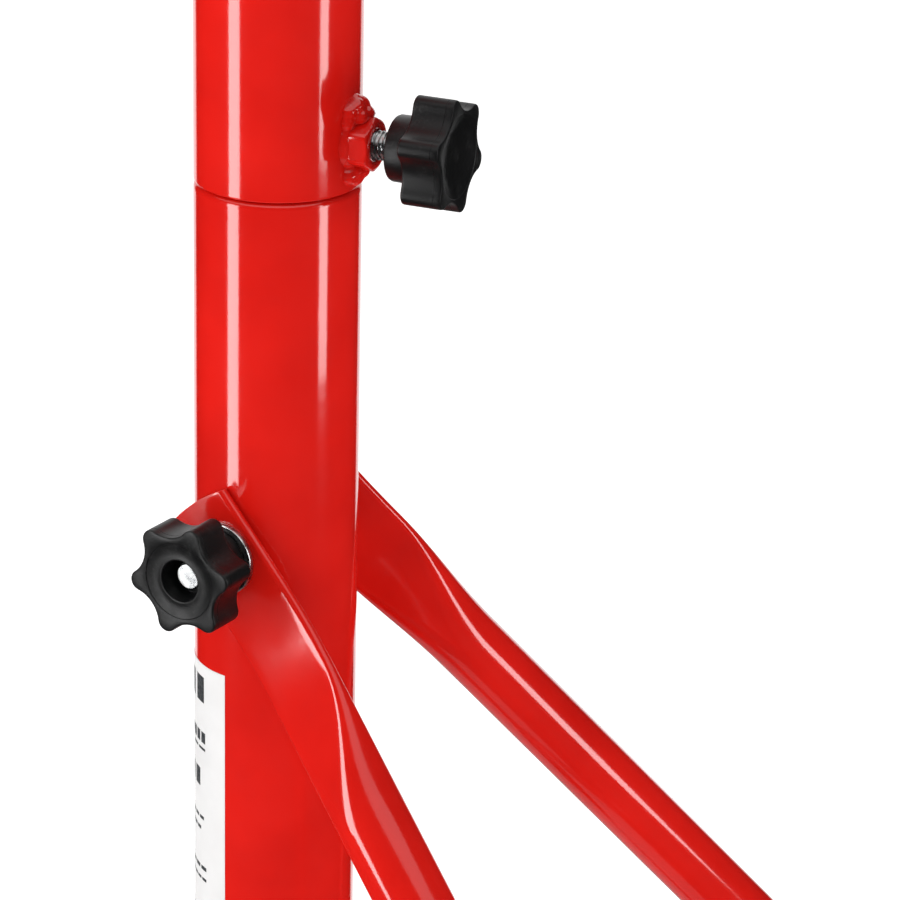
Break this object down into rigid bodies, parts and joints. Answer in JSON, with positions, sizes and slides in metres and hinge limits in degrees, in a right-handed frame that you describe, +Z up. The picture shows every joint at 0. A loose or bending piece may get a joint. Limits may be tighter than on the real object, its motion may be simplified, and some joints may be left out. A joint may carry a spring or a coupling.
{
  "type": "axle support stand",
  "caption": "Tall knock-down axle support stand: round red column on two splayed braces with star knobs, pinned extension, lifting screw and swivel cradle.",
  "frame": {"origin": "centre of the column's foot pad, on the floor", "axes": "+Z up the column; -Y is the front, midway between the two braces; +Y along the rear foot tube; +X to the right seen from the front"},
  "size_m": [0.4928, 0.7046, 1.2153],
  "materials": {
    "red_powder_coat": "glossy red powder coat",
    "knob_plastic": "black moulded plastic, satin",
    "zinc_hardware": "bright zinc plate",
    "zinc_tube": "zinc-plated drawn tube",
    "screw_steel": "oiled machined steel thread",
    "cradle_paint": "black-coated cast cradle",
    "rubber": "matt moulded rubber",
    "grip_plastic": "black dipped grip",
    "label_film": "white printed label"
  },
  "bodies": {
    "base": {"base_plate": "red_powder_coat", "base_weld": "red_powder_coat", "column_studs": "zinc_hardware", "foot_pad": "rubber", "ground_spacers": "zinc_hardware", "label": "label_film", "left_brace": "red_powder_coat", "left_ground_tube": "red_powder_coat", "left_lug": "red_powder_coat", "left_shoe": "rubber", "lower_column": "red_powder_coat", "lug_bolts": "zinc_hardware", "lug_nuts": "zinc_hardware", "lug_washers": "zinc_hardware", "rear_foot_tube": "red_powder_coat", "rear_gusset": "red_powder_coat", "rear_shoe": "rubber", "right_brace": "red_powder_coat", "right_ground_tube": "red_powder_coat", "right_lug": "red_powder_coat", "right_shoe": "rubber", "stud_washers": "zinc_hardware"},
    "upper_column": {"upper_column": "red_powder_coat", "clamp_nut": "red_powder_coat", "clamp_weld": "red_powder_coat", "top_collar": "red_powder_coat"},
    "clamp_knob": {"clamp_knob": "knob_plastic", "clamp_stud": "zinc_hardware"},
    "extension": {"extension_tube": "zinc_tube", "guide_ring": "zinc_tube", "tube_cap": "zinc_tube"},
    "lock_pin": {"lock_pin": "zinc_hardware", "pin_handle": "zinc_hardware"},
    "lift_nut": {"lift_nut": "red_powder_coat", "nut_handles": "red_powder_coat", "handle_grips": "grip_plastic"},
    "lift_screw": {"lift_screw": "screw_steel"},
    "saddle": {"saddle": "cradle_paint", "saddle_pad": "rubber", "saddle_grub_screw": "zinc_hardware"},
    "left_brace_knob": {"left_brace_knob": "knob_plastic", "left_brace_insert": "zinc_hardware"},
    "left_ground_knob": {"left_ground_knob": "knob_plastic", "left_ground_insert": "zinc_hardware"},
    "right_brace_knob": {"right_brace_knob": "knob_plastic", "right_brace_insert": "zinc_hardware"},
    "right_ground_knob": {"right_ground_knob": "knob_plastic", "right_ground_insert": "zinc_hardware"}
  },
  "joints": [
    {"name": "upper_column_turn", "type": "hinge", "parent": "base", "child": "upper_column", "pos_m": [0, 0, 0.56], "axis": [0, 0, 1], "continuous": true},
    {"name": "clamp_knob_turn", "type": "hinge", "parent": "upper_column", "child": "clamp_knob", "pos_m": [-0.0067, -0.04955, 0.5767], "axis": [-0.134, -0.991, 0], "continuous": true},
    {"name": "left_brace_knob_turn", "type": "hinge", "parent": "base", "child": "left_brace_knob", "pos_m": [-0.04303, 0.01316, 0.432], "axis": [-0.9563, 0.2924, 0], "continuous": true},
    {"name": "left_ground_knob_turn", "type": "hinge", "parent": "base", "child": "left_ground_knob", "pos_m": [-0.04303, 0.01316, 0.034], "axis": [-0.9563, 0.2924, 0], "continuous": true},
    {"name": "right_brace_knob_turn", "type": "hinge", "parent": "base", "child": "right_brace_knob", "pos_m": [0.04303, 0.01316, 0.45], "axis": [0.9563, 0.2924, 0], "continuous": true},
    {"name": "right_ground_knob_turn", "type": "hinge", "parent": "base", "child": "right_ground_knob", "pos_m": [0.04303, 0.01316, 0.034], "axis": [0.9563, 0.2924, 0], "continuous": true},
    {"name": "extension_slide", "type": "slide", "parent": "upper_column", "child": "extension", "axis": [0, 0, 1], "range_m": [0, 0.32]},
    {"name": "lock_pin_pull", "type": "slide", "parent": "extension", "child": "lock_pin", "axis": [1, 0, 0], "range_m": [0, 0.072]},
    {"name": "lift_nut_turn", "type": "hinge", "parent": "extension", "child": "lift_nut", "pos_m": [0, 0, 1.1223], "axis": [0, 0, 1], "range_deg": [0, 2160]},
    {"name": "screw_rise", "type": "slide", "parent": "extension", "child": "lift_screw", "axis": [0, 0, 1], "range_m": [0, 0.036]},
    {"name": "saddle_swivel", "type": "hinge", "parent": "lift_screw", "child": "saddle", "pos_m": [0, 0, 1.1653], "axis": [0, 0, 1], "continuous": true}
  ],
  "couplings": [
    {"joint": "screw_rise", "follows": "lift_nut_turn", "m_per_rad": 0.00095493}
  ]
}
